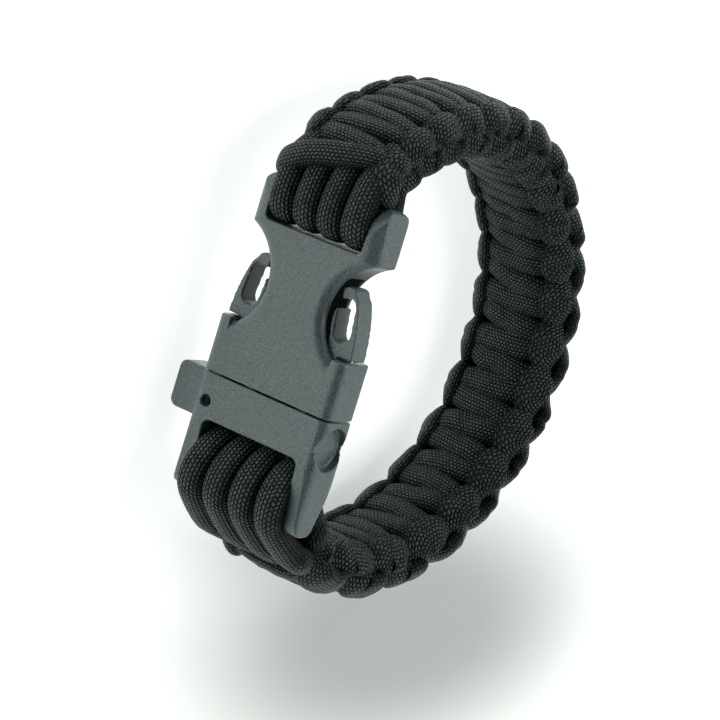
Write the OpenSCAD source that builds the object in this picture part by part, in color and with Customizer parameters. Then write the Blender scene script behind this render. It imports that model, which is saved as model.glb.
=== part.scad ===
// Paracord bracelet with a side-release whistle buckle, closed, lying on its side.
// Lengths are in millimetres. The pieces are drawn with the buckle's front face on the plane y = 0,
// facing -Y, and the loop's axis along Z; laid() then sets the whole loop down on the floor.

/* [Cord slots] */
// Width of the two slots that the cord passes through, which take 5/8 inch webbing with some room
slot_w = 16.6; // [16.3:0.1:16.8]
// Diameter of each cord bar
bar_d = 2.2; // [2:0.1:2.3]
// Place of the socket's cord bar along the buckle
socket_bar_x = -18.6; // [-19:0.1:-18.4]
// Place of the plug's cord bar along the buckle
plug_bar_x = 23.4; // [23:0.1:23.8]
// Depth of the plug's cord bar behind the front face
plug_bar_y = 2.8; // [2.6:0.1:3]

/* [Buckle body] */
// Width of the buckle's body
body_w = 22.2; // [21.8:0.1:22.6]
// Thickness of the buckle's body
body_t = 6.8; // [6.6:0.1:7]
// Radius of the body's long edges
edge_r = 1.4; // [1:0.1:2]
// Radius of the edges at the socket's horns
horn_edge_r = 2.6; // [1.6:0.1:2.8]
// Place of the split line between the two halves
split_x = 9.5; // [9:0.1:10]
// Gap between the two halves at the split line
split_gap = 0.3; // [0.2:0.1:0.4]

/* [Socket half] */
// Place of the socket's slot edge
socket_slot_x = -13.2; // [-13.3:0.1:-13]
// Place of the horns' tips
horn_x = -20; // [-20.5:0.1:-19.8]
// Width over the two horns
horn_w = 21.2; // [20.8:0.1:21.6]
// Thickness of the front and the back plate
plate_t = 1.5; // [1.4:0.1:1.6]
// Half width of the hollow between the plates
hollow_half_w = 9.6; // [9.4:0.1:9.7]
// Deepest place of the hollow along the buckle
hollow_x = -9.6; // [-10:0.1:-9.4]
// Radius of the round window in each side
window_r = 8; // [7.8:0.1:8.2]
// Place of the windows' centres along the buckle
window_x = -4.7; // [-5:0.1:-4.4]
// Distance of the windows' centres from the middle
window_z = 13.3; // [13.2:0.1:13.6]
// Radius of the horns' corners beside the windows
horn_corner_r = 1.6; // [0.8:0.1:2]
// Roll of the plates' edges round the windows
window_roll = 1.4; // [0.6:0.1:1.4]
// Place where the mouth's side walls begin
wall_x = 1.2; // [1.1:0.1:2]

/* [Plug half] */
// Place of the plug's slot edge
plug_slot_x = 15.8; // [15.6:0.1:16]
// Place of the arms' tips
arm_x = 26; // [25.6:0.1:26.4]
// Thickness of the arms at their tips
arm_tip_t = 4; // [3.6:0.1:4.4]
// Length of the prong heads
head_len = 9.5; // [9:0.1:9.6]
// Place of the prong heads' catch faces
catch_x = 0.9; // [0.5:0.1:1]
// Thickness of the prongs
prong_t = 3.4; // [3:0.1:3.5]
// Length of the oval hole in each prong head
oval_len = 6.2; // [5.6:0.1:6.4]
// Width of the oval hole in each prong head
oval_w = 2.8; // [2.2:0.1:2.9]

/* [Whistle] */
// How far the mouthpiece stands out of the plug's side
mouth_len = 4.5; // [4:0.1:5]
// Width of the mouthpiece along the buckle
mouth_w = 6.8; // [6:0.1:7]
// Thickness of the mouthpiece
mouth_t = 4.6; // [4:0.1:5]
// Diameter of the round recess in the plug's other side
recess_d = 6.2; // [5.4:0.1:6.4]
// Depth of the round recess
recess_depth = 1.3; // [0.6:0.1:1.4]
// Place of the round recess and the sound hole along the buckle
recess_x = 13.4; // [13.2:0.1:13.6]
// Diameter of the sound hole in the front face
sound_d = 1.7; // [1.4:0.1:2]

/* [Loop] */
// Diameter of the cord
cord_d = 4; // [3.8:0.1:4]
// Centre of the loop's main arc, sideways from the buckle's own zero
loop_cx = 0.4; // [0:0.1:0.8]
// Centre of the loop's main arc, behind the buckle's front face
loop_cy = 26.7; // [26:0.1:27.4]
// Place where the band starts to bend beyond the socket's bar
bend_x = -19.2; // [-19.4:0.1:-19]
// How far the band's far side stands out sideways from the buckle's middle
far_shift = 2; // [0:0.1:2.4]
// How far the band rolls about its own length at the far side
far_roll = 8; // [0:0.5:10]
// Bare cord along the loop between the socket's bar and the weave
socket_gap = 4.2; // [4:0.1:6]
// Bare cord along the loop between the plug's bar and the weave
plug_gap = 8.5; // [7:0.1:9]

// How far the cords bulge behind the plug's bar towards the slot's edge
plug_bulge = 2.2; // [0:0.1:2.4]
// Share by which the cords spread apart between the plug's bar and the weave
leg_spread = 0.12; // [0:0.01:0.14]

/* [Weave] */
// Number of half knots along the band
half_knots = 40; // [38:2:42]
// How much closer than even the half knots lie at the socket's end
near_pack = 0.34; // [0:0.01:0.36]
// How much further apart than even they lie at the plug's end
far_loose = 0.3; // [0:0.01:0.36]
// Width of the band over its knuckles
weave_w = 19.2; // [18.8:0.1:20]
// Thickness of the band over its crossings
weave_t = 9; // [8.6:0.1:9.4]
// Thickness of the band at the knuckles
edge_t = 7.4; // [7:0.1:8]
// Depth of the hollows between knuckles
knuckle_relief = 1.1; // [0.5:0.1:1.4]
// Depth of the grooves between crossings
crossing_relief = 0.6; // [0.3:0.1:0.8]
// Extra width of the band at its two ends
flare_w = 1.8; // [0:0.1:2]

/* [Lay] */
// Turn about X that lets the loop rest on the mouthpiece and the far side of the band
lay_x = -8.139; // [-8.4:0.001:-7.9]
// Turn about Y that goes with it
lay_y = -0.088; // [-0.4:0.001:0.2]
// Shift along X to the middle of the footprint
lay_dx = -0.449; // [-0.8:0.001:0]
// Shift along Y to the middle of the footprint
lay_dy = -30.422; // [-31:0.001:-30]
// Height of the loop's own zero above the floor
lay_dz = 16.234; // [16.233:0.001:16.5]

/* [Hidden] */
$fn = 64;
plastic = [0.16, 0.18, 0.19];
black = [0.06, 0.07, 0.07];
over = 1; // overshoot of a cutter past the face that it cuts
bar_y = body_t / 2;
half_w = body_w / 2;
slot_half = slot_w / 2;
pitch_z = cord_d + 0.1; // spacing of the four cords across a slot
wrap_r = bar_d / 2 + cord_d / 2 + 0.05; // radius of the cord's centreline round a bar
// The main arc passes through the plug's bar, and the corner arc is tangent to it and to the line of the socket's bar
arc_r = norm([plug_bar_x - loop_cx, loop_cy - plug_bar_y]);
rise = loop_cy - bar_y;
corner_r = (arc_r * arc_r - pow(loop_cx - bend_x, 2) - rise * rise) / (2 * (arc_r - rise));
corner_turn = atan2(loop_cx - bend_x, rise - corner_r);
plug_angle = atan2(plug_bar_y - loop_cy, plug_bar_x - loop_cx);
straight = socket_bar_x - bend_x;
corner_len = corner_r * corner_turn * PI / 180;
arc_turn = 270 - corner_turn - plug_angle;
loop_len = straight + corner_len + arc_r * arc_turn * PI / 180;
weave_len = loop_len - socket_gap - plug_gap;
rings_per_knot = 4;
around = 20;
flare_len = 9; // reach of the extra width from each end
cord_sides = 10;
end_len = 2; // reach of the rounding at the band's ends
end_round = 0.22; // share of the section that the rounding takes off
guide_x = -1.5;
guide_w = 6;
guide_t = 2.4;
slot_r = 0.9; // radius of the slots' inner corners
horn_edge_x = -12; // the horns' rounder edges end here, inside the windows
leg_squeeze = 0.7; // how far each leg closes in on the other where it meets the weave
shift_skew = 1.3; // above 1, the sideways shift is greatest past the loop's middle, nearer the plug
wall_reach = 0.8; // how far the mouth's side walls reach into the hollow's width

// Points on an arc from angle a0 to a1, in n steps
function arc(c, r, a0, a1, n) = [for (i = [0:n]) c + r * [cos(a0 + (a1 - a0) * i / n), sin(a0 + (a1 - a0) * i / n)]];
// Heading of the loop's centreline at length s from the socket's bar
function heading(s) = s < straight ? 180
    : s < straight + corner_len ? 180 - (s - straight) / corner_r * 180 / PI
    : 180 - corner_turn - (s - straight - corner_len) / arc_r * 180 / PI;
// Outward direction of the loop at length s
function outward(s) = [-sin(heading(s)), cos(heading(s))];
// Point on the loop's centreline at length s
function centre(s) = s < straight ? [socket_bar_x - s, bar_y]
    : s < straight + corner_len ? [bend_x, bar_y + corner_r] + corner_r * outward(s)
    : [loop_cx, loop_cy] + arc_r * outward(s);
// Share of the sideways shift and of the roll at length s: none at the bars, all at the far side
function lean(s) = pow(sin(180 * pow(s / loop_len, shift_skew)), 2);
// Share of the weave's length that holds share x of its half knots
function packed(x) = x - x * (1 - x) * (near_pack + far_loose * pow(x, 6));
// Rounded step of a cosine, flat near its ends
function soft(c, p) = sign(c) * pow(abs(c), p);
// Height of a knuckle or a crossing after k half knots, with a ridge every step: 1 on the ridge, 0 in the groove
function ridge(k, step) = pow(abs(cos(180 * k / step)), 0.6);

// Draws a flat (x, z) shape from depth y0 to y1
module deep(y0, y1) { translate([0, y1, 0]) rotate([90, 0, 0]) linear_extrude(height = y1 - y0) children(); }
// Draws a flat (y, z) shape from x0 to x1
module along(x0, x1) { translate([x0, 0, 0]) rotate([90, 0, 90]) linear_extrude(height = x1 - x0) children(); }
// Draws a flat (x, y) shape from z0 to z1
module across(z0, z1) { translate([0, 0, z0]) linear_extrude(height = z1 - z0) children(); }
// Rectangle from a to b with round corners
module rounded(a, b, r) {
    translate([a.x + r, a.y]) square([b.x - a.x - 2 * r, b.y - a.y]);
    translate([a.x, a.y + r]) square([b.x - a.x, b.y - a.y - 2 * r]);
    for (x = [a.x + r, b.x - r], y = [a.y + r, b.y - r]) translate([x, y]) circle(r);
}
// Both sides of the buckle
module each_side() { for (side = [0, 1]) mirror([0, 0, side]) children(); }

// Sets the loop down on the floor
module laid() { translate([lay_dx, lay_dy, lay_dz]) rotate([lay_x, lay_y, 0]) children(); }

// Round cutter of a side window, whose rim leaves the plates' edges rolled over
module window_cut() {
    far = window_r + window_roll;
    translate([window_x, 0, window_z]) rotate([-90, 0, 0]) rotate_extrude() {
        translate([0, -over]) square([window_r, body_t + 2 * over]);
        difference() {
            translate([0, -over]) square([far, window_roll + over]);
            translate([far, window_roll]) circle(window_roll);
        }
        difference() {
            translate([0, body_t - window_roll]) square([far, window_roll + over]);
            translate([far, body_t - window_roll]) circle(window_roll);
        }
    }
}

// Cutter that rounds the corner between a horn's side and the window beside it. Its circle touches both
module horn_corner_cut() {
    window = [window_x, window_z];
    reach = window_r + horn_corner_r;
    drop = window_z - half_w + horn_corner_r;
    c = [window_x - sqrt(reach * reach - drop * drop), half_w - horn_corner_r];
    touch = window + (c - window) * window_r / reach;
    deep(-over, body_t + over) difference() {
        polygon([[c.x, half_w + over], [touch.x + over, half_w + over], touch + [over, 0], touch, c]);
        translate(c) circle(horn_corner_r);
    }
}

// Side view of the socket: the horns roll back at their tips
module socket_side() {
    front_r = 4;
    back_r = 2;
    end_x = split_x - split_gap;
    polygon(concat([[end_x, 0]], arc([horn_x + front_r, front_r], front_r, 270, 180, 10),
        arc([horn_x + back_r, body_t - back_r], back_r, 180, 90, 6), [[end_x, body_t]]));
}

// Front view of the socket without its windows
module socket_front() {
    horn_half = horn_w / 2;
    polygon(concat([[split_x - split_gap, half_w]], arc([-11.5, half_w - 1], 1, 90, 110, 3),
        arc([horn_x + 2, horn_half - 2], 2, 100, 180, 6), [[horn_x, 0], [split_x - split_gap, 0]]));
}

module socket() {
    end_x = split_x - split_gap;
    color(plastic) laid() {
        difference() {
            intersection() {
                across(-half_w, half_w) socket_side();
                union() {
                    along(horn_edge_x, end_x) rounded([0, -half_w], [body_t, half_w], edge_r);
                    along(horn_x - over, horn_edge_x + 0.1)
                        rounded([0, -half_w], [body_t, half_w], horn_edge_r);
                }
                union() {
                    deep(0, body_t) socket_front();
                    mirror([0, 0, 1]) deep(0, body_t) socket_front();
                }
            }
            // the hollow that the prongs slide into
            translate([hollow_x, plate_t, -hollow_half_w])
                cube([end_x - hollow_x + over, body_t - 2 * plate_t, 2 * hollow_half_w]);
            // the slot for the cord
            deep(-over, body_t + over) rounded([horn_x - 2 * over, -slot_half], [socket_slot_x, slot_half], slot_r);
            each_side() horn_corner_cut();
            difference() {
                each_side() window_cut();
                // the mouth's side walls stay
                each_side() translate([wall_x, -over, hollow_half_w - wall_reach])
                    cube([end_x - wall_x, body_t + 2 * over, half_w]);
            }
        }
        translate([socket_bar_x, bar_y, -slot_half - 0.5]) cylinder(h = slot_w + 1, d = bar_d);
    }
}

// Side view of the plug: its arms grow thin towards their tips
module plug_side() {
    front_y = 0.5;
    back_y = front_y + arm_tip_t;
    tip_r = 1.6;
    base_x = split_x;
    polygon(concat([[base_x, 0], [plug_slot_x + 1, 0]], arc([arm_x - tip_r, front_y + tip_r], tip_r, 270, 360, 6),
        arc([arm_x - tip_r, back_y - tip_r], tip_r, 0, 80, 6), [[plug_slot_x + 1, body_t], [base_x, body_t]]));
}

// One prong, on the +Z side: a flexible arm and an oval head with a hole through it
module prong() {
    y0 = bar_y - prong_t / 2;
    tip_x = catch_x - head_len;
    arm_z = 6.6;
    arm_w = 1.8;
    outer_r = 25; // the head's outer side is a shallow arc
    outer_z = 10.8;
    inner_z = 5.8;
    inner_r = 3.9;
    tip_z = 7.4;
    tip_r = 1.3;
    hole_x = catch_x - head_len * 0.52;
    hole_z = 7.85;
    hole_turn = 7; // the hole follows the head's outer side
    deep(y0, y0 + prong_t) {
        translate([catch_x - 1, arm_z]) square([split_x - catch_x + 2, arm_w]);
        difference() {
            polygon(concat([[catch_x, arm_z]], arc([catch_x + 0.7, outer_z - outer_r], outer_r, 91.6, 110, 8),
                arc([tip_x + tip_r, tip_z], tip_r, 105, 230, 8), arc([hole_x + 0.2, inner_z + inner_r], inner_r, 235, 290, 8)));
            translate([hole_x, hole_z]) rotate(hole_turn) {
                straight_len = oval_len - oval_w;
                square([straight_len, oval_w], center = true);
                for (end = [-1, 1]) translate([end * straight_len / 2, 0]) circle(d = oval_w);
            }
        }
    }
}

module mouthpiece() {
    y0 = bar_y - mouth_t / 2;
    tab_z = -half_w - mouth_len;
    difference() {
        deep(y0, y0 + mouth_t) rounded([split_x - 0.1, tab_z], [split_x - 0.1 + mouth_w, -half_w + 2], 1.2);
        translate([split_x + 1.3, bar_y - 0.8, tab_z - over]) cube([mouth_w - 2.8, 1.6, 3 + over]);
    }
}

module plug() {
    color(plastic) laid() {
        difference() {
            intersection() {
                across(-half_w, half_w) plug_side();
                along(split_x, arm_x + over) rounded([0, -half_w], [body_t, half_w], edge_r);
            }
            // the slot for the cord
            deep(-over, body_t + over) rounded([plug_slot_x, -slot_half], [arm_x + 2 * over, slot_half], slot_r);
            translate([recess_x, bar_y, half_w - recess_depth]) cylinder(h = recess_depth + over, d = recess_d);
            translate([recess_x, -over, -half_w + 2.2]) rotate([-90, 0, 0]) cylinder(h = over + 2.4, d = sound_d);
        }
        translate([plug_bar_x, plug_bar_y, -slot_half - 0.5]) cylinder(h = slot_w + 1, d = bar_d);
        mouthpiece();
        each_side() prong();
        // the guide between the prongs
        translate([guide_x, bar_y - guide_t / 2, -guide_w / 2]) cube([split_x - guide_x + 1, guide_t, guide_w]);
    }
}

// Point of one band section at angle a, k half knots along and s from the weave's end: the corners carry the
// knuckles and the middle carries the crossings
function band_point(k, s, a) =
    let (
        from_end = min(s, weave_len - s),
        flare = pow(max(0, 1 - from_end / flare_len), 2) * flare_w / 2,
        close = 1 - end_round * pow(max(0, 1 - from_end / end_len), 2),
        corner = sign(cos(a)) * sign(sin(a)) >= 0 ? 0 : 0.5,
        knuckle = ridge(k - 0.5 - 2 * corner, 2),
        crossing = ridge(k - 0.5, 1),
        w = weave_w / 2 + flare - knuckle_relief * (1 - knuckle),
        edge = pow(abs(cos(a)), 3),
        t = (weave_t / 2 - crossing_relief * (1 - crossing)) * (1 - edge)
            + (edge_t / 2 - knuckle_relief * (1 - knuckle)) * edge
    ) [soft(cos(a), 0.6) * w * close, soft(sin(a), 0.6) * t * close];

module weave() {
    rings = half_knots * rings_per_knot;
    points = [for (i = [0:rings], j = [0:around - 1])
        let (
            s = weave_len * packed(i / rings),
            q = band_point(i / rings_per_knot, s, 360 * (j + 0.5) / around),
            share = lean(socket_gap + s),
            turn = far_roll * share,
            p = centre(socket_gap + s) + outward(socket_gap + s) * (q.y * cos(turn) - q.x * sin(turn))
        ) [p.x, p.y, q.x * cos(turn) + q.y * sin(turn) + far_shift * share]];
    sides = [for (i = [0:rings - 1], j = [0:around - 1])
        let (k = (j + 1) % around) [i * around + j, i * around + k, (i + 1) * around + k, (i + 1) * around + j]];
    ends = [[for (j = [around - 1:-1:0]) j], [for (j = [0:around - 1]) rings * around + j]];
    color(black) laid() polyhedron(points = points, faces = concat(sides, ends), convexity = 8);
}

// One cord loop round the bar at length s0, at height z across the slot. Its two legs run side by side
// along the loop to the weave, in direction dir. A bulge sets the turn and the start of the inner leg off the bar
module cord_loop(s0, dir, gap, z, bulge, spread) {
    leg = 4;
    bend = 12;
    o = outward(s0);
    away = -dir * [cos(heading(s0)), sin(heading(s0))];
    swell = bulge * (away - o) / sqrt(2);
    outer = [for (i = [0:leg - 1]) let (s = gap * (1 - i / leg)) leg_frame(s0 + dir * s, s / gap, 1, spread)];
    wrap = [for (i = [0:bend])
        let (a = 180 * i / bend, n = o * cos(a) + away * sin(a))
            [centre(s0) + wrap_r * n + swell * pow((1 - cos(a)) / 2, 1.5), n, 1]];
    inner = [for (i = [1:leg])
        let (f = leg_frame(s0 + dir * gap * i / leg, i / leg, -1, spread))
            [f[0] + swell * pow(cos(90 * i / leg), 2), f[1], f[2]]];
    tube(concat(outer, wrap, inner), z, dir);
}

// Place, outward direction and sideways spread of a leg's section, where part of the way to the weave is done
function leg_frame(s, part, side, spread) =
    let (n = outward(s) * side) [centre(s) + n * (wrap_r - leg_squeeze * part), n, 1 + spread * part];

// Round tube through sections, each a place, a direction and a factor on z. turn is 1 or -1, the way that it runs
module tube(frames, z, turn) {
    last = len(frames) - 1;
    points = [for (f = frames, j = [0:cord_sides - 1])
        let (a = 360 * (j + 0.5) / cord_sides, r = cord_d / 2, p = f[0] + f[1] * r * cos(a)) [p.x, p.y, z * f[2] + turn * r * sin(a)]];
    sides = [for (i = [0:last - 1], j = [0:cord_sides - 1])
        let (k = (j + 1) % cord_sides, m = i * cord_sides) [m + j, m + k, m + cord_sides + k, m + cord_sides + j]];
    ends = [[for (j = [cord_sides - 1:-1:0]) j], [for (j = [0:cord_sides - 1]) last * cord_sides + j]];
    color(black) laid() polyhedron(points = points, faces = concat(sides, ends), convexity = 6);
}

module socket_loop(i) { cord_loop(0, 1, socket_gap, (i - 2.5) * pitch_z, 0, 0); }
module plug_loop(i) { cord_loop(loop_len, -1, plug_gap, (i - 2.5) * pitch_z, plug_bulge, leg_spread); }

socket();
plug();
weave();
socket_loop(1);  // socket_loop_1
socket_loop(2);  // socket_loop_2
socket_loop(3);  // socket_loop_3
socket_loop(4);  // socket_loop_4
plug_loop(1);  // plug_loop_1
plug_loop(2);  // plug_loop_2
plug_loop(3);  // plug_loop_3
plug_loop(4);  // plug_loop_4
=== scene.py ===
# Black paracord bracelet, closed and lying on its side, on a pale floor
import bmesh
import bpy
import numpy as np
from mathutils import Matrix


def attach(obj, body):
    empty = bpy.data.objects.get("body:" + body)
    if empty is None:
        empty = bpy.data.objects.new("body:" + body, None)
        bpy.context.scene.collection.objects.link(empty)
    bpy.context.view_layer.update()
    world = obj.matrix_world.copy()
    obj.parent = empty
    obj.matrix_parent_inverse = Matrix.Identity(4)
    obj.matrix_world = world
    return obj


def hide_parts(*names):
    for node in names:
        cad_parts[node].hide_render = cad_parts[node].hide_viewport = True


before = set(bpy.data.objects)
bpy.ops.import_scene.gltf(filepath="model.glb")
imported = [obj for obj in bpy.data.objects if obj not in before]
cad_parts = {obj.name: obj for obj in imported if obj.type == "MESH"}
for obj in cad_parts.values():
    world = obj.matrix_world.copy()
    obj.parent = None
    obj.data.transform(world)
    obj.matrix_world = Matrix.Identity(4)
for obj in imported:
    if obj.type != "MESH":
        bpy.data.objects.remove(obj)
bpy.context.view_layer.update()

# The bracelet's own frame, in millimetres: the buckle's front is the plane y = 0, facing -Y,
# x runs along the buckle from socket to plug, and z is the loop's axis. lay sets it down on the floor.
lay = {
    "turnX": -8.139,  # degrees, as in the solids
    "turnY": -0.088,
    "shift": (-0.449, -30.422, 16.234),
}


def turning(axis, degrees):
    # rotation matrix about one axis, right-hand rule
    c, s = np.cos(np.radians(degrees)), np.sin(np.radians(degrees))
    m = np.eye(3)
    i, j = [(1, 2), (2, 0), (0, 1)][axis]
    m[i, i], m[i, j], m[j, i], m[j, j] = c, -s, s, c
    return m


layTurn = turning(1, lay["turnY"]) @ turning(0, lay["turnX"])


def laid(points):
    # bracelet millimetres to metres on the floor: turn, then shift
    return (np.asarray(points) @ layTurn.T + lay["shift"]) / 1000


def unlaid(points):
    # metres on the floor to bracelet millimetres: shift back, then turn back
    return (np.asarray(points) * 1000 - lay["shift"]) @ layTurn


# Camera, solved from the buckle's corners and the knuckles of the weave, in the bracelet's frame
view = {
    "place": (-55.2, -287.3, 194.1),
    "right": (-0.293, 0.549, 0.783),
    "up": (-0.943, -0.029, -0.332),
    "back": (-0.160, -0.835, 0.526),
    "lens": 130.12,
    "sensor": 36,
    "nearest": 0.01,  # metres
    "furthest": 20,
}


def addCamera():
    # The three rounded axes go to the nearest true rotation, then lie down with the bracelet
    axes = np.array([view["right"], view["up"], view["back"]], dtype=float)
    u, _, w = np.linalg.svd(axes)
    matrix = np.eye(4)
    matrix[:3, :3], matrix[:3, 3] = layTurn @ (u @ w).T, laid([view["place"]])[0]
    data = bpy.data.cameras.new("viewCamera")
    data.lens, data.sensor_width = view["lens"], view["sensor"]
    data.clip_start, data.clip_end = view["nearest"], view["furthest"]
    camera = bpy.data.objects.new("viewCamera", data)
    camera.matrix_world = Matrix(matrix.tolist())
    bpy.context.scene.collection.objects.link(camera)
    bpy.context.scene.camera = camera


addCamera()
print("camera placed")


class Wire:
    # a node's output; sums on it add Math nodes
    def __init__(self, tree, socket=None):
        self.tree, self.socket = tree, socket

    def make(self, kind, settings=None, inputs=None, output=0):
        # adds a node: settings first, then the values or links of its sockets
        node = self.tree.nodes.new(kind)
        for key, value in (settings or {}).items():
            setattr(node, key, value)
        for key, value in (inputs or {}).items():
            if isinstance(value, Wire):
                self.tree.links.new(value.socket, node.inputs[key])
            else:
                node.inputs[key].default_value = value
        return Wire(self.tree, node.outputs[output] if node.outputs else None)

    def math(self, operation, *values):
        # a Math node on values or wires
        return self.make("ShaderNodeMath", {"operation": operation}, dict(enumerate(values)))

    def __add__(self, other):
        return self.math("ADD", self, other)

    def __sub__(self, other):
        return self.math("SUBTRACT", self, other)

    def __mul__(self, other):
        return self.math("MULTIPLY", self, other)

    def __rsub__(self, other):
        return self.math("SUBTRACT", other, self)

    def __pow__(self, other):
        return self.math("POWER", self, other)

    def __mod__(self, other):
        return self.math("MODULO", self, other)

    __radd__ = __add__
    __rmul__ = __mul__

    def floor(self):
        return self.math("FLOOR", self)

    def sine(self):
        return self.math("SINE", self)

    def atLeast(self, low):
        return self.math("MAXIMUM", self, low)

    def mixed(self, first, second):
        # colour between first and second by this factor
        return self.make("ShaderNodeMix", {"data_type": "RGBA"}, {0: self, 6: first, 7: second}, 2)

    def noise(self, place, size, detail, **others):
        # smooth noise from 0 to 1
        inputs = {"Vector": place, "Scale": size, "Detail": detail, **others}
        return self.make("ShaderNodeTexNoise", None, inputs)

    def objectPlace(self):
        # Object coordinates
        return self.make("ShaderNodeTexCoord", None, None, 3)


def newMaterial(name):
    # an empty material and a wire to build on
    material = bpy.data.materials.new(name)
    material.use_nodes = True
    material.node_tree.nodes.clear()
    return material, Wire(material.node_tree)


def finishMaterial(wire, inputs):
    # ends a material in one Principled shader
    shader = wire.make("ShaderNodeBsdfPrincipled", None, inputs)
    wire.make("ShaderNodeOutputMaterial", None, {"Surface": shader})


def grey(value, tint=(1.0, 1.0, 1.0)):
    # a colour: the value times its tint
    return tuple(value * t for t in tint) + (1.0,)


sheath = {
    "columns": 23,  # grains round the cord
    "grainLength": 0.62,  # millimetres along the cord
    "slant": 0.42,
    "tint": (0.70, 1.0, 1.02),
    # painted shade: the tone runs from crest, on a grain's top, to near black in the crevices between
    # grains
    "crest": 0.135,
    "creviceShade": 0.0006,
    "steepness": 2.6,  # painted shade: how fast the tone rises from a dark crevice to a crest
    "creviceShadeShare": 1.25,
    "evenTone": 0.36,  # what all grains have, what chance adds to each, and what patches add
    "chanceTone": 0.8,
    "patchTone": 0.36,
    "sideShadeTone": 0.16,  # painted shade: how dark the cord's sides are, where it lies against its neighbours
    "patchSize": 90.0,
    "fuzzSize": 3200.0,
    "fuzzHeight": 0.18,
    "unevenness": 0.2,  # how much the grains differ in height
    "depth": 0.00040,
    "roughness": 0.42,
    "sheen": 0.02,
    "sheenRoughness": 0.4,
    "specular": 0.13,
    "pathShare": 0.4,  # grains are spaced by the path's length and, for the rest, by that of the cord's top
}


def makeCordMaterial():
    # Braided sheath: columns of slanted grains, leaning left and right in turn, half a grain out of step.
    # A grain's height is the root of (1 - x^2)(1 - y^2) over its own cell. The tone follows that height, a
    # painted shade in the crevices between grains. Away from the cord's top the tone falls with the sine of
    # the way round, a painted shade where the cord lies against its neighbours.
    material, wire = newMaterial("braidedNylon")
    uv = wire.make("ShaderNodeUVMap", {"uv_map": "cordMap"})
    across = wire.make("ShaderNodeSeparateXYZ", None, {0: uv}, 0)
    along = Wire(wire.tree, across.socket.node.outputs[1])
    column = across.floor()
    x = across - column
    odd = column % 2.0
    shifted = along + (1 - 2 * odd) * sheath["slant"] * (x - 0.5) + 0.5 * odd
    row = shifted.floor()
    y = shifted - row
    cell = wire.make("ShaderNodeCombineXYZ", None, {0: column, 1: row})
    chance = wire.make("ShaderNodeTexWhiteNoise", {"noise_dimensions": "2D"}, {"Vector": cell})
    lowX = 1 - (2 * x - 1) ** 2.0
    lowY = 1 - (2 * y - 1) ** 2.0
    grain = (lowX * lowY).atLeast(0.0) ** 0.5
    place = wire.objectPlace()
    patches = wire.noise(place, sheath["patchSize"], 2.0)
    fuzz = wire.noise(place, sheath["fuzzSize"], 2.0)
    aroundSine = (across * (2 * np.pi / sheath["columns"])).sine()
    sideShade = sheath["sideShadeTone"] + (1 - sheath["sideShadeTone"]) * aroundSine.atLeast(0.0)
    chanceTone = sheath["evenTone"] + sheath["chanceTone"] * chance + sheath["patchTone"] * patches
    # painted shade in the crevices between grains and on the cord's sides, times the grains' own tone
    tone = (sheath["steepness"] * grain - sheath["creviceShadeShare"]).atLeast(0.0) * chanceTone * sideShade
    colour = tone.mixed(grey(sheath["creviceShade"], sheath["tint"]), grey(sheath["crest"], sheath["tint"]))
    evenness = 1 - sheath["unevenness"] / 2
    height = grain * (evenness + sheath["unevenness"] * chance) + sheath["fuzzHeight"] * fuzz
    bump = wire.make("ShaderNodeBump", None,
                     {"Strength": 1.0, "Distance": sheath["depth"], "Height": height})
    finishMaterial(wire, {
        "Base Color": colour,
        "Roughness": sheath["roughness"],
        "Sheen Weight": sheath["sheen"],
        "Sheen Roughness": sheath["sheenRoughness"],
        "Specular IOR Level": sheath["specular"],
        "Normal": bump,
    })
    return material


moulding = {
    "tint": (0.75, 1.0, 1.05),
    "tone": 0.142,
    "darkest": 0.4,  # factors on the tone
    "palest": 1.6,
    "grainTone": 1.9,
    "cloudTone": 0.2,
    "toneShift": 0.55,
    "grainSize": 5000.0,
    "grainDepth": 0.00006,
    "cloudSize": 160.0,
    "roughness": 0.30,
    "wear": 0.10,  # how much the roughness changes from place to place
    "specular": 0.7,
}


def makePlasticMaterial():
    # Moulded acetal: an even dark grey, with a fine sand grain in the height and the tone.
    # The tone is grainTone * grain + cloudTone * cloud - toneShift.
    material, wire = newMaterial("grainedPlastic")
    place = wire.objectPlace()
    grain = wire.noise(place, moulding["grainSize"], 1.0, Roughness=0.5)
    cloud = wire.noise(place, moulding["cloudSize"], 3.0)
    tone = moulding["grainTone"] * grain + moulding["cloudTone"] * cloud - moulding["toneShift"]
    dark, pale = (grey(moulding["tone"] * moulding[end], moulding["tint"]) for end in ("darkest", "palest"))
    bump = wire.make("ShaderNodeBump", None,
                     {"Strength": 1.0, "Distance": moulding["grainDepth"], "Height": grain})
    finishMaterial(wire, {
        "Base Color": tone.mixed(dark, pale),
        "Roughness": moulding["roughness"] + moulding["wear"] * (cloud - 0.5),
        "Specular IOR Level": moulding["specular"],
        "Normal": bump,
    })
    return material


cordMaterial = makeCordMaterial()
plasticMaterial = makePlasticMaterial()
print("materials made")

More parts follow.
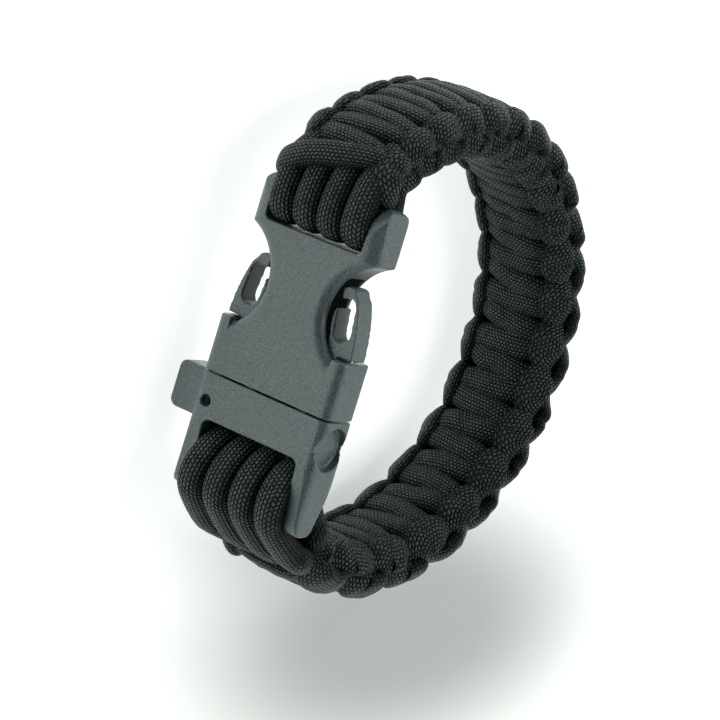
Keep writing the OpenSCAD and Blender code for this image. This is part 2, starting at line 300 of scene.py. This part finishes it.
# The loop's centreline, as in the solids
loop = {
    "socketBarX": -18.6,
    "plugBarX": 23.4,
    "plugBarY": 2.8,
    "barY": 3.4,
    "bendX": -19.2,
    "centreX": 0.4,
    "centreY": 26.7,
    "socketGap": 4.2,
    "plugGap": 8.5,
    "halfKnots": 40,
    "farShift": 2.0,  # sideways shift of the far side
    "farRoll": 8.0,  # its roll about the band's length, in degrees
    "shiftSkew": 1.3,
    "nearPack": 0.34,  # the half knots lie closer near the socket
    "farLoose": 0.30,  # and further apart near the plug
}
arcR = np.hypot(loop["plugBarX"] - loop["centreX"], loop["centreY"] - loop["plugBarY"])
rise = loop["centreY"] - loop["barY"]
cornerR = (arcR**2 - (loop["centreX"] - loop["bendX"])**2 - rise**2) / (2 * (arcR - rise))
cornerTurn = np.arctan2(loop["centreX"] - loop["bendX"], rise - cornerR)
plugAngle = np.arctan2(loop["plugBarY"] - loop["centreY"], loop["plugBarX"] - loop["centreX"])
straight = loop["socketBarX"] - loop["bendX"]
cornerLen = cornerR * cornerTurn
loopLen = straight + cornerLen + arcR * (1.5 * np.pi - cornerTurn - plugAngle)
weaveLen = loopLen - loop["socketGap"] - loop["plugGap"]


def centreLine(s):
    # Place and outward direction at length s from the socket's bar: a short straight, a tight arc and
    # the main arc
    s = np.asarray(s, dtype=float)
    heading = np.where(s < straight, np.pi, np.where(
        s < straight + cornerLen, np.pi - (s - straight) / cornerR,
        np.pi - cornerTurn - (s - straight - cornerLen) / arcR))
    outward = np.stack([-np.sin(heading), np.cos(heading)], -1)
    onStraight = np.stack([loop["socketBarX"] - s, np.full_like(s, loop["barY"])], -1)
    onCorner = np.array([loop["bendX"], loop["barY"] + cornerR]) + cornerR * outward
    onArc = np.array([loop["centreX"], loop["centreY"]]) + arcR * outward
    first, second = (s < straight)[..., None], (s < straight + cornerLen)[..., None]
    return np.where(first, onStraight, np.where(second, onCorner, onArc)), outward


def knotLength(count):
    # Length along the loop after a count of half knots: their share x takes x - x(1 - x)(near + far * x^6)
    x = np.asarray(count, dtype=float) / loop["halfKnots"]
    inside = np.clip(x, 0, 1)
    pack = loop["nearPack"] + loop["farLoose"] * inside**6
    return loop["socketGap"] + weaveLen * (x - inside * (1 - inside) * pack)


def onBand(u, v, s):
    # Band place (sideways, outward, along) to the bracelet's frame. The far side is shifted sideways and
    # rolled about its own length, both by sin^2(pi * (s / length)^skew)
    place, outward = centreLine(s)
    share = np.sin(np.pi * np.clip(np.asarray(s) / loopLen, 0, 1) ** loop["shiftSkew"]) ** 2
    roll = np.radians(loop["farRoll"]) * share
    flat = place + outward * (v * np.cos(roll) - u * np.sin(roll))[..., None]
    sideways = u * np.cos(roll) + v * np.sin(roll) + loop["farShift"] * share
    return np.stack([flat[..., 0], flat[..., 1], sideways + 0 * flat[..., 0]], -1)


def throughPoints(points, steps):
    # Smooth curve through rows of numbers: Catmull-Rom spans, each cut into the same number of steps
    padded = np.concatenate([2 * points[:1] - points[1:2], points, 2 * points[-1:] - points[-2:-1]])
    a, b, c, d = (padded[i:len(points) - 1 + i, None, :] for i in range(4))
    t = (np.arange(steps) / steps)[None, :, None]
    slope, bend, twist = c - a, 2 * a - 5 * b + 4 * c - d, 3 * b - a - 3 * c + d
    curve = 0.5 * (2 * b + slope * t + bend * t**2 + twist * t**3)
    return np.concatenate([curve.reshape(-1, points.shape[1]), points[-1:]])


def evenly(curve, place, step):
    # Picks rows of a curve so that they lie one step apart along its length, 8 rows at least
    length = np.concatenate([[0], np.cumsum(np.linalg.norm(np.diff(place, axis=0), axis=1))])
    at = np.linspace(0, length[-1], max(8, int(round(length[-1] / step)) + 1))
    return np.stack([np.interp(at, length, column) for column in curve.T], -1)


def unit(vectors):
    # vectors over their own lengths
    return vectors / np.linalg.norm(vectors, axis=-1, keepdims=True)


def addPiece(name, mesh, node):
    # a finished mesh as a smooth piece of the bracelet, standing for a node of the solids
    mesh.polygons.foreach_set("use_smooth", np.ones(len(mesh.polygons), dtype=bool))
    mesh.update()
    piece = bpy.data.objects.new(name, mesh)
    bpy.context.scene.collection.objects.link(piece)
    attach(piece, "root")
    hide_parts(node)


def cordGrid(path, facing, wide, high, sides, startLength=0.0, square=1.0):
    # Profile along a path: at each place an ellipse, wide across the path and high along its facing
    # direction. A power below 1 on its cosine and sine makes it squarer.
    tangent = unit(np.gradient(path, axis=0))
    normal = unit(facing - (facing * tangent).sum(-1, keepdims=True) * tangent)
    side = np.cross(tangent, normal)
    angle = 2 * np.pi * np.arange(sides) / sides
    power = np.broadcast_to(square, len(path))[:, None]
    c, s = (np.sign(f) * np.abs(f) ** power for f in (np.cos(angle), np.sin(angle)))
    across = c[..., None] * (side * wide[:, None])[:, None, :]
    upward = s[..., None] * (normal * high[:, None])[:, None, :]
    rings = path[:, None, :] + across + upward
    count = len(path)
    # map: columns by the way round each ring, rows by the path's length and that of the line along its top
    top = path + normal * high[:, None]
    steps = sheath["pathShare"] * np.linalg.norm(np.diff(path, axis=0), axis=1)
    steps += (1 - sheath["pathShare"]) * np.linalg.norm(np.diff(top, axis=0), axis=1)
    length = startLength + np.concatenate([[0], np.cumsum(steps)])
    closed = np.concatenate([rings, rings[:, :1]], 1)
    around = np.cumsum(np.linalg.norm(np.diff(closed, axis=1), axis=2), axis=1)
    columns = np.concatenate([np.zeros((count, 1)), around / around[:, -1:]], 1) * sheath["columns"]
    rows = np.broadcast_to(length[:, None] / sheath["grainLength"], columns.shape)
    places = np.stack([columns, rows], -1)
    i, j = np.meshgrid(np.arange(count - 1), np.arange(sides), indexing="ij")
    k = (j + 1) % sides
    quads = np.stack([i * sides + j, (i + 1) * sides + j, (i + 1) * sides + k, i * sides + k], -1)
    uv = np.stack([places[i, j], places[i + 1, j], places[i + 1, j + 1], places[i, j + 1]], -2)
    return rings.reshape(-1, 3), quads.reshape(-1, 4), uv.reshape(-1, 2), sides


def addCord(name, tubes, node):
    # One piece from several tubes, each closed by a flat cap at both ends
    vertices, faces, uvs, start = [], [], [], 0
    for rings, quads, uv, sides in tubes:
        end = start + len(rings)
        vertices.append(rings)
        faces += (quads + start).tolist()
        faces.append(list(range(start, start + sides)))
        faces.append(list(range(end - 1, end - sides - 1, -1)))
        uvs.append(np.concatenate([uv, np.zeros((2 * sides, 2))]))
        start = end
    mesh = bpy.data.meshes.new(name)
    mesh.from_pydata(laid(np.concatenate(vertices)).tolist(), [], faces)
    mesh.uv_layers.new(name="cordMap").data.foreach_set("uv", np.concatenate(uvs).ravel())
    mesh.materials.append(cordMaterial)
    addPiece(name, mesh, node)


# The weave: two working strands round a flat core.
# Rows of a strand's path over one half knot: sideways (towards the side that it starts from), outward,
# along in half knots, half width, half height, and the turn of its top from outward to sideways in degrees.
# It leaves a knuckle on the one face, dives up through the inside, crosses the other face, goes under the
# other strand's knuckle and round the edge to its next knuckle.
weave = {
    "rows": [
        (7.05, -2.05, -0.50, 2.50, 1.40, 137),
        (7.05, -2.05, -0.18, 2.50, 1.40, 137),
        (7.05, -1.40, 0.08, 2.40, 1.40, 128),
        (6.50, -0.15, 0.19, 2.05, 1.45, 100),
        (5.60, 1.10, 0.20, 1.95, 1.50, 70),
        (4.70, 2.20, 0.16, 2.05, 1.55, 30),
        (2.50, 2.75, 0.07, 2.10, 1.55, 4),
        (0.00, 2.80, 0.00, 2.10, 1.55, 0),
        (-2.50, 2.75, -0.07, 2.10, 1.55, -4),
        (-4.70, 2.20, -0.16, 2.05, 1.55, -30),
        (-5.60, 1.10, -0.20, 1.95, 1.50, -70),
        (-6.50, -0.15, -0.19, 2.05, 1.45, -100),
        (-7.05, -1.40, -0.08, 2.40, 1.40, -128),
        (-7.05, -2.05, 0.18, 2.50, 1.40, -137),
    ],
    "tuckFactors": (0.8, -0.2, 1, 0.8, 0.8, 1),  # the last row, on its way under the last knuckle
    "tuckRun": 0.55,  # and how far it runs on, in half knots
    "square": 0.80,
    "sides": 28,
    "step": 0.38,
    "spanSteps": 6,
    "jitter": 0.10,
    "jitterFactors": (1.0, 0.5, 0.25, 0.4, 0.3, 20),  # on each column of the rows
    "seeds": {"front": 7, "back": 11},
    "tightest": 0.7,  # limits of the spacing that the strand's section follows
    "loosest": 1.25,
}
# First rows of each strand at the socket end, in whole band values
firstRows = {
    "front": [
        (6.2, 0.2, 0.95, 1.80, 1.50, 60),
        (5.6, 2.2, 0.66, 1.90, 1.50, 40),
        (3.6, 3.9, 0.36, 2.00, 1.55, 18),
        (0.4, 4.5, 0.08, 2.00, 1.60, 0),
        (-3.8, 4.5, -0.16, 2.00, 1.60, -8),
        (-7.0, 3.4, -0.42, 2.00, 1.60, -35),
        (-8.5, 1.3, -0.52, 2.00, 1.60, -75),
        (-8.3, -0.8, -0.34, 2.00, 1.60, -105),
        (-7.4, -1.9, 0.05, 2.30, 1.50, -130),
    ],
    "back": [
        (-6.0, -2.6, 0.30, 1.80, 1.50, 195),
        (-2.5, -3.3, 0.10, 2.00, 1.55, 182),
        (1.5, -3.4, -0.10, 2.00, 1.55, 180),
        (4.6, -3.0, -0.26, 1.95, 1.55, 156),
        (6.2, -1.8, -0.36, 1.90, 1.50, 122),
        (7.2, -0.1, -0.36, 1.90, 1.50, 95),
        (7.6, 1.6, -0.16, 2.50, 1.50, 66),
        (7.3, 2.3, 0.12, 2.80, 1.50, 48),
    ],
}


def strandRows(face):
    # All rows of one strand: the half knot's rows, mirrored sideways at every other half knot, and turned
    # half round for the strand of the back face
    chance = np.random.default_rng(weave["seeds"][face])
    rows = np.array(weave["rows"])
    number = np.arange(1, loop["halfKnots"])
    mirror = np.where(number % 2 == 0, 1.0, -1.0)[:, None]
    table = np.broadcast_to(rows, (len(number),) + rows.shape).copy()
    table += chance.normal(0, 1, table.shape) * weave["jitter"] * np.array(weave["jitterFactors"])
    table[..., 2] += number[:, None]
    table[..., 0] *= mirror
    table[..., 5] *= mirror
    if face == "back":
        table[..., :2] *= -1
        table[..., 5] += 180
    table = np.concatenate([np.array(firstRows[face], dtype=float), table.reshape(-1, 6)])
    tuck = table[-1] * weave["tuckFactors"]
    tuck[2] += weave["tuckRun"]
    return np.concatenate([table, [tuck]])


def addStrand(name, face):
    # A squarish tube along the strand's rows. It grows wider by the root of the half knots' spacing, and
    # flatter by its fourth root, where they lie further apart.
    curve = throughPoints(strandRows(face), weave["spanSteps"])
    curve = evenly(curve, onBand(curve[:, 0], curve[:, 1], knotLength(curve[:, 2])), weave["step"])
    u, v, count, wide, high, turn = curve.T
    s = knotLength(count)
    path = onBand(u, v, s)
    facing = onBand(u + np.sin(np.radians(turn)), v + np.cos(np.radians(turn)), s) - path
    spacing = (knotLength(count + 0.5) - knotLength(count - 0.5)) * loop["halfKnots"] / weaveLen
    spacing = np.clip(spacing, weave["tightest"], weave["loosest"])
    wide, high = wide * spacing**0.5, high / spacing**0.25
    addCord(name, [cordGrid(path, facing, wide, high, weave["sides"], 0.0, weave["square"])], "weave")


addStrand("workingStrandFront", "front")
addStrand("workingStrandBack", "back")
print("working strands woven, mean half knot", round(weaveLen / loop["halfKnots"], 3), "mm")

# The core strands inside the weave
core = {"spacing": 3.6, "wide": 1.85, "high": 1.45, "sides": 16, "step": 1.0, "tuck": 1.0}


def addCore():
    # four flat tubes side by side along the loop's centreline
    s = np.arange(loop["socketGap"] - core["tuck"], loopLen - loop["plugGap"] + core["tuck"], core["step"])
    _, outward = centreLine(s)
    facing = np.concatenate([outward, np.zeros((len(s), 1))], 1)
    wide, high = (np.full_like(s, core[name]) for name in ("wide", "high"))
    paths = [onBand(np.full_like(s, part * core["spacing"]), np.zeros_like(s), s)
             for part in (-1.5, -0.5, 0.5, 1.5)]
    addCord("coreStrands", [cordGrid(path, facing, wide, high, core["sides"]) for path in paths], "weave")


addCore()
print("core laid")

# The cord loops round the two bars
bars = {
    "cord": 4.0,
    "bar": 2.2,
    "clearance": 0.05,
    "pitch": 4.1,
    "squeeze": 0.7,  # how far each leg closes in on the other where it meets the weave
    "dip": 0.25,  # and how much further at the weave's edge
    "reach": 4.0,  # how far each leg runs on inside the weave
    "legEnd": 1.3,  # outward place of the legs inside the weave
    "legGather": 0.9,  # how close they lie to each other there
    "broad": 1.02,  # half width over half height, along the legs
    "pressBroad": 0.03,  # and how much more on the turn
    "square": 0.92,
    "pressSquare": 0.30,  # how much squarer the cords are where they press against each other
    "sides": 28,
    "step": 0.3,
    "spanSteps": 8,
    "mapShift": 7.3,  # millimetres between the braids' starts on neighbouring loops
}
barEnds = {
    "socket": {
        "start": 0.0,  # place of the bar along the centreline
        "run": 1,  # the way from the bar to the weave
        "gap": loop["socketGap"],
        "bulge": 0.6,  # how far the turns stand off the bar, towards the slot's edge
        "spread": 0.0,  # how much further apart the cords lie at the weave
        "front": 0.45,  # how far the turns stand out of the slot
    },
    "plug": {
        "start": loopLen,
        "run": -1,
        "gap": loop["plugGap"],
        "bulge": 2.8,
        "spread": 0.26,
        "front": 0.0,
    },
}


def addLoop(name, node, number, end):
    # Two legs along the loop's centreline and half a turn round the bar. The turn stands off the bar by
    # bulge * ((1 - cos(a)) / 2)^2.5, and the inner leg by bulge * cos^2(90 deg * its share of the gap).
    # The turn also stands out to the front, by front * sin(a) * (1 + cos(a)) / 2, and towards the slot's
    # edge, by front * sin(2a).
    start, run, gap, bulge, spread, front = (
        end[key] for key in ("start", "run", "gap", "bulge", "spread", "front"))
    z = (number - 2.5) * bars["pitch"]
    wrapR = bars["bar"] / 2 + bars["cord"] / 2 + bars["clearance"]
    place, outward = centreLine(start)
    away = -run * np.array([outward[1], -outward[0]])
    swell = bulge * np.append(away - outward, 0) / np.sqrt(2)

    # the legs' rows, from inside the weave to the bar: share of the gap, outward place, factor on z
    share = np.array([1 + bars["reach"] / gap, 1.0, 0.75, 0.5, 0.25, 0.0])
    near = np.minimum(share, 1)
    out = wrapR - bars["squeeze"] * share
    out[:2] = bars["legEnd"], wrapR - bars["squeeze"] - bars["dip"]
    factor = np.append(bars["legGather"], 1 + spread * share[1:])
    s = start + run * gap * share
    outer = onBand(z * (factor + spread * (1 - near) / 2), out, s)
    inner = onBand(z * factor, -out, s) + swell * (np.cos(np.pi / 2 * near) ** 2)[:, None]

    a = np.radians(np.arange(1, 8) * 22.5)[:, None]
    flat = place + wrapR * (outward * np.cos(a) + away * np.sin(a))
    turn = np.concatenate([flat, z * (1 + spread * (1 + np.cos(a)) / 4)], 1)
    turn += swell * ((1 - np.cos(a)) / 2) ** 2.5
    turn[:, :2] += front * (outward * np.sin(a) * (1 + np.cos(a)) / 2 + away * np.maximum(np.sin(2 * a), 0))

    # a fourth column tells how far round the bar a row is, where the cords press square against each other
    press = np.concatenate([np.zeros(len(share)), np.sin(a[:, 0]), np.zeros(len(share))])
    rows = np.column_stack([np.concatenate([outer, turn, inner[::-1]]), press])
    curve = throughPoints(rows, bars["spanSteps"])
    curve = evenly(curve, curve[:, :3], bars["step"])
    path, press = curve[:, :3], np.clip(curve[:, 3], 0, 1)
    # the section's top faces away from the bar
    facing = np.cross(unit(np.gradient(path, axis=0)), [0.0, 0.0, float(run)])
    half = np.full(len(path), bars["cord"] / 2)
    addCord(name, [cordGrid(path, facing, half * (bars["broad"] + bars["pressBroad"] * press), half,
                            bars["sides"], bars["mapShift"] * number,
                            bars["square"] - bars["pressSquare"] * press)], node)


for number in range(1, 5):
    addLoop(f"socketCord{number}", f"socket_loop_{number}", number, barEnds["socket"])
    addLoop(f"plugCord{number}", f"plug_loop_{number}", number, barEnds["plug"])
print("cord loops wrapped")

# Buckle halves: the solids' shape with moulded, softened edges
softening = {
    "grid": 0.17,  # millimetres
    "factor": 0.5,
    "rounds": 4,
    "merge": 1e-7,  # metres
}


def movePoints(mesh, mover):
    # sets a mesh's points to what mover makes of them
    places = np.empty(len(mesh.vertices) * 3)
    mesh.vertices.foreach_get("co", places)
    mesh.vertices.foreach_set("co", mover(places.reshape(-1, 3)).ravel())


def addHalf(name, node):
    # The solid's surface resampled on a fine grid in the buckle's own frame, then relaxed, so that edges
    # round off
    mesh = bpy.data.meshes.new(name)
    build = bmesh.new()
    build.from_mesh(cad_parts[node].data)
    bmesh.ops.remove_doubles(build, verts=build.verts, dist=softening["merge"])
    build.to_mesh(mesh)
    build.free()
    movePoints(mesh, lambda points: unlaid(points) / 1000)
    draft = bpy.data.objects.new(name + "Draft", mesh)
    bpy.context.scene.collection.objects.link(draft)
    remesh = draft.modifiers.new("resample", "REMESH")
    remesh.mode, remesh.voxel_size = "VOXEL", softening["grid"] / 1000
    relax = draft.modifiers.new("relax", "SMOOTH")
    relax.factor, relax.iterations = softening["factor"], softening["rounds"]
    shape = bpy.data.meshes.new_from_object(draft.evaluated_get(bpy.context.evaluated_depsgraph_get()))
    shape.name = name
    bpy.data.objects.remove(draft)
    movePoints(shape, lambda points: laid(points * 1000))
    shape.materials.clear()
    shape.materials.append(plasticMaterial)
    addPiece(name, shape, node)
    print(name, len(shape.polygons), "faces")


addHalf("socketHalf", "socket")
addHalf("plugHalf", "plug")

# Floor and light
stage = {
    "floorSize": 3.0,
    "floorTint": (0.90, 0.93, 0.905),
    "floorRoughness": 0.6,
    "glow": 0.85,  # painted light: the floor's own glow, as of a lit sheet, which also lights the bracelet from below
    "shadeCentre": (0.050, 0.036, 0.0),  # painted shade: the sheet is greyer round this place, below the bracelet
    "shadeStretch": (1.0, 0.5, 1.0),
    "shadeNear": 0.012,
    "shadeFar": 0.044,
    "paintedShadeTone": 0.72,
    "paintedShadeGlow": 0.08,
    "cloudSize": 9.0,
    "cloudReach": 0.01,  # how far the cloud moves the shade's edge
    "worldTint": (0.96, 1.0, 0.965),
    "worldGlow": 0.70,
    "opening": (-0.15, -0.78, 0.61),  # direction of the tent's dark opening
    "openingTone": 0.03,
    "openingEdge": 0.20,  # cosines of the angle to it, where the tent starts to darken and is darkest
    "openingHeart": 0.80,
    "keyPlace": (-0.25, 0.35, 1.0),
    "keyAim": (0, 0, 0.01),
    "keySize": 0.6,
    "keyPower": 3.4,
}


def addFloor():
    # A flat sheet with a painted shade below the bracelet: the shade goes smoothly from 1 at shadeNear to 0
    # at shadeFar, by the distance to the shade's centre with its axes stretched. It darkens the sheet's
    # colour and its glow.
    half = stage["floorSize"]
    mesh = bpy.data.meshes.new("paleFloor")
    corners = [(-half, -half, 0), (half, -half, 0), (half, half, 0), (-half, half, 0)]
    mesh.from_pydata(corners, [], [(0, 1, 2, 3)])
    material, wire = newMaterial("palePaper")
    place = wire.objectPlace()
    cloud = wire.noise(place, stage["cloudSize"], 2.0)
    stretched = wire.make("ShaderNodeVectorMath", {"operation": "MULTIPLY"},
                          {0: place, 1: stage["shadeStretch"]})
    centre = tuple(c * f for c, f in zip(stage["shadeCentre"], stage["shadeStretch"]))
    reach = wire.make("ShaderNodeVectorMath", {"operation": "DISTANCE"}, {0: stretched, 1: centre}, 1)
    paintedShade = wire.make("ShaderNodeMapRange", {"interpolation_type": "SMOOTHSTEP"},
                      {"Value": reach + stage["cloudReach"] * cloud, "From Min": stage["shadeNear"],
                       "From Max": stage["shadeFar"], "To Min": 1.0, "To Max": 0.0})
    pale, shaded, dim = (grey(value, stage["floorTint"])
                         for value in (1.0, stage["paintedShadeTone"], stage["paintedShadeGlow"]))
    finishMaterial(wire, {"Base Color": paintedShade.mixed(pale, shaded), "Roughness": stage["floorRoughness"],
                          "Emission Color": paintedShade.mixed(pale, dim), "Emission Strength": stage["glow"]})
    mesh.materials.append(material)
    floor = bpy.data.objects.new("paleFloor", mesh)
    bpy.context.scene.collection.objects.link(floor)


def addWorld():
    # an even pale tent with one dark opening, in a fixed direction in front of the buckle
    world = bpy.data.worlds.new("paleStudio")
    world.use_nodes = True
    world.node_tree.nodes.clear()
    sky = Wire(world.node_tree)
    direction = sky.make("ShaderNodeTexCoord", None, None, 0)
    toOpening = sky.make("ShaderNodeVectorMath", {"operation": "DOT_PRODUCT"},
                         {0: direction, 1: stage["opening"]}, 1)
    dark = sky.make("ShaderNodeMapRange", {"interpolation_type": "SMOOTHSTEP"},
                    {"Value": toOpening, "From Min": stage["openingEdge"],
                     "From Max": stage["openingHeart"]})
    light = dark.mixed(grey(1.0, stage["worldTint"]), grey(stage["openingTone"]))
    background = sky.make("ShaderNodeBackground", None, {"Color": light, "Strength": stage["worldGlow"]})
    sky.make("ShaderNodeOutputWorld", None, {"Surface": background})
    bpy.context.scene.world = world


def addLight(name, place, aim, size, power, tint):
    # a round soft light at a place, its back turned away from what it aims at
    data = bpy.data.lights.new(name, "AREA")
    data.shape, data.size, data.energy, data.color = "DISK", size, power, tint
    light = bpy.data.objects.new(name, data)
    back = unit(np.array(place) - np.array(aim))
    side = unit(np.cross([0.0, 0.0, 1.0], back))
    matrix = np.eye(4)
    matrix[:3, :3] = np.stack([side, np.cross(back, side), back], 1)
    matrix[:3, 3] = place
    light.matrix_world = Matrix(matrix.tolist())
    bpy.context.scene.collection.objects.link(light)


addFloor()
addWorld()
addLight("keyLight", stage["keyPlace"], stage["keyAim"], stage["keySize"], stage["keyPower"],
         stage["worldTint"])
bpy.context.scene.view_settings.view_transform = "Standard"
print("floor and lights set")
